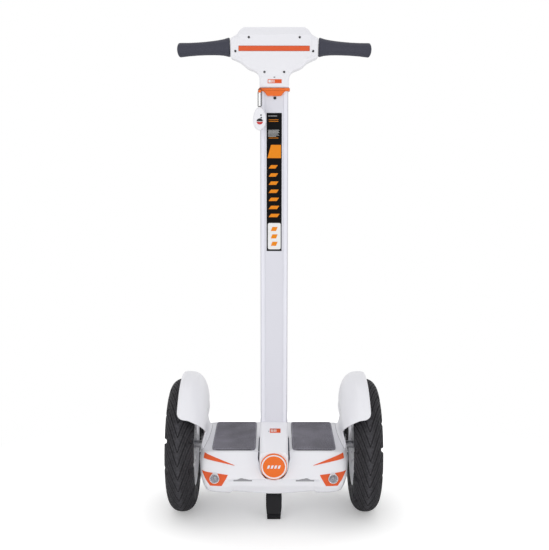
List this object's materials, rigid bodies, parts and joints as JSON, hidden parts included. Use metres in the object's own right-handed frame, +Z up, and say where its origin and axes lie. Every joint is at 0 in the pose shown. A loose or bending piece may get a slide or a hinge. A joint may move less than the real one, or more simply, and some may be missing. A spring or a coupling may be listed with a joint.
{
  "type": "self-balancing scooter",
  "caption": "Stand-on self-balancing scooter with fat tyres, a rubber-padded deck, a tall leaning steering column with a T-shaped head and grips, and a folding parking stand.",
  "frame": {"origin": "on the ground under the middle of the wheel axle of the parked machine", "axes": "+Z up, -Y forward in the riding direction, +X to the rider's left"},
  "size_m": [0.557, 0.355, 1.2665],
  "materials": {
    "white_plastic": "glossy white plastic",
    "silver_alloy": "satin silver white coat",
    "wheel_alloy": "cast alloy, satin",
    "orange_plastic": "glossy orange plastic",
    "badge_orange": "glossy orange plastic",
    "pad_rubber": "ribbed grey rubber",
    "grip_rubber": "dark blue-grey rubber",
    "tyre_rubber": "matte black rubber",
    "black_plastic": "matte black plastic",
    "steel": "plain steel",
    "clear_lens": "clear lens",
    "red_plastic": "glossy red plastic",
    "board": "green circuit board",
    "battery": "wrapped battery cells"
  },
  "bodies": {
    "chassis": {"chassis_frame": "wheel_alloy", "lower_casing": "white_plastic", "deck_cover": "white_plastic", "front_fascia": "white_plastic", "rear_fascia": "white_plastic", "battery_pack": "battery", "control_board": "board", "charge_socket": "black_plastic", "front_steering_bearing": "steel", "rear_steering_bearing": "steel", "kickstand_bracket": "steel", "kickstand_pin": "steel", "left_fender": "white_plastic", "right_fender": "white_plastic", "left_foot_pad": "pad_rubber", "right_foot_pad": "pad_rubber", "left_accent_stripe": "orange_plastic", "right_accent_stripe": "orange_plastic", "left_lamp_bezel": "orange_plastic", "right_lamp_bezel": "orange_plastic", "left_headlamp": "clear_lens", "right_headlamp": "clear_lens", "left_tail_lamp": "red_plastic", "right_tail_lamp": "red_plastic", "left_axle": "steel", "right_axle": "steel", "left_motor_stator": "black_plastic", "right_motor_stator": "black_plastic"},
    "left_wheel": {"left_tyre": "tyre_rubber", "left_rim": "wheel_alloy", "left_hub_shell": "wheel_alloy", "left_hub_cap": "white_plastic"},
    "right_wheel": {"right_tyre": "tyre_rubber", "right_rim": "wheel_alloy", "right_hub_shell": "wheel_alloy", "right_hub_cap": "white_plastic"},
    "steering": {"steering_shaft": "steel", "steering_hub": "steel", "neck_cover": "white_plastic", "badge_ring": "white_plastic", "badge_disc": "badge_orange", "column_tube": "silver_alloy", "column_label_strip": "black_plastic", "column_screw": "black_plastic", "column_collar": "badge_orange", "head_front_cover": "white_plastic", "head_rear_cover": "white_plastic", "head_stripe": "orange_plastic", "display_lens": "black_plastic", "handlebar_tube": "steel", "left_grip": "grip_rubber", "right_grip": "grip_rubber"},
    "kickstand": {"kickstand_leg": "black_plastic", "kickstand_foot": "pad_rubber"},
    "charge_cap": {"charge_port_cap": "black_plastic"},
    "key_fob": {"fob_shell": "white_plastic", "fob_chain": "steel"},
    "fob_upper_button": {"fob_black_button": "black_plastic"},
    "fob_lower_button": {"fob_red_button": "red_plastic"}
  },
  "joints": [
    {"name": "right_wheel_spin", "type": "hinge", "parent": "chassis", "child": "right_wheel", "pos_m": [-0.239, 0, 0.1775], "axis": [1, 0, 0], "continuous": true},
    {"name": "left_wheel_spin", "type": "hinge", "parent": "chassis", "child": "left_wheel", "pos_m": [0.239, 0, 0.1775], "axis": [1, 0, 0], "continuous": true},
    {"name": "steering_lean", "type": "hinge", "parent": "chassis", "child": "steering", "pos_m": [0, 0.00021, 0.17451], "axis": [0, 0.9976, 0.0698], "range_deg": [-10, 10], "stiffness_Nm_per_rad": 90},
    {"name": "kickstand_fold", "type": "hinge", "parent": "chassis", "child": "kickstand", "pos_m": [0, -0.06166, 0.08447], "axis": [1, 0, 0], "range_deg": [0, 80]},
    {"name": "charge_cap_open", "type": "hinge", "parent": "chassis", "child": "charge_cap", "pos_m": [0, 0.16679, 0.17062], "axis": [1, 0, 0], "range_deg": [0, 100]},
    {"name": "fob_swing", "type": "hinge", "parent": "steering", "child": "key_fob", "pos_m": [-0.0342, -0.12754, 1.10687], "axis": [0, 0.9976, 0.0698], "range_deg": [-30, 30]},
    {"name": "fob_upper_button_press", "type": "slide", "parent": "key_fob", "child": "fob_upper_button", "axis": [0, 1, 0], "range_m": [0, 0.0008], "stiffness_N_per_m": 800},
    {"name": "fob_lower_button_press", "type": "slide", "parent": "key_fob", "child": "fob_lower_button", "axis": [0, 1, 0], "range_m": [0, 0.0008], "stiffness_N_per_m": 800}
  ]
}
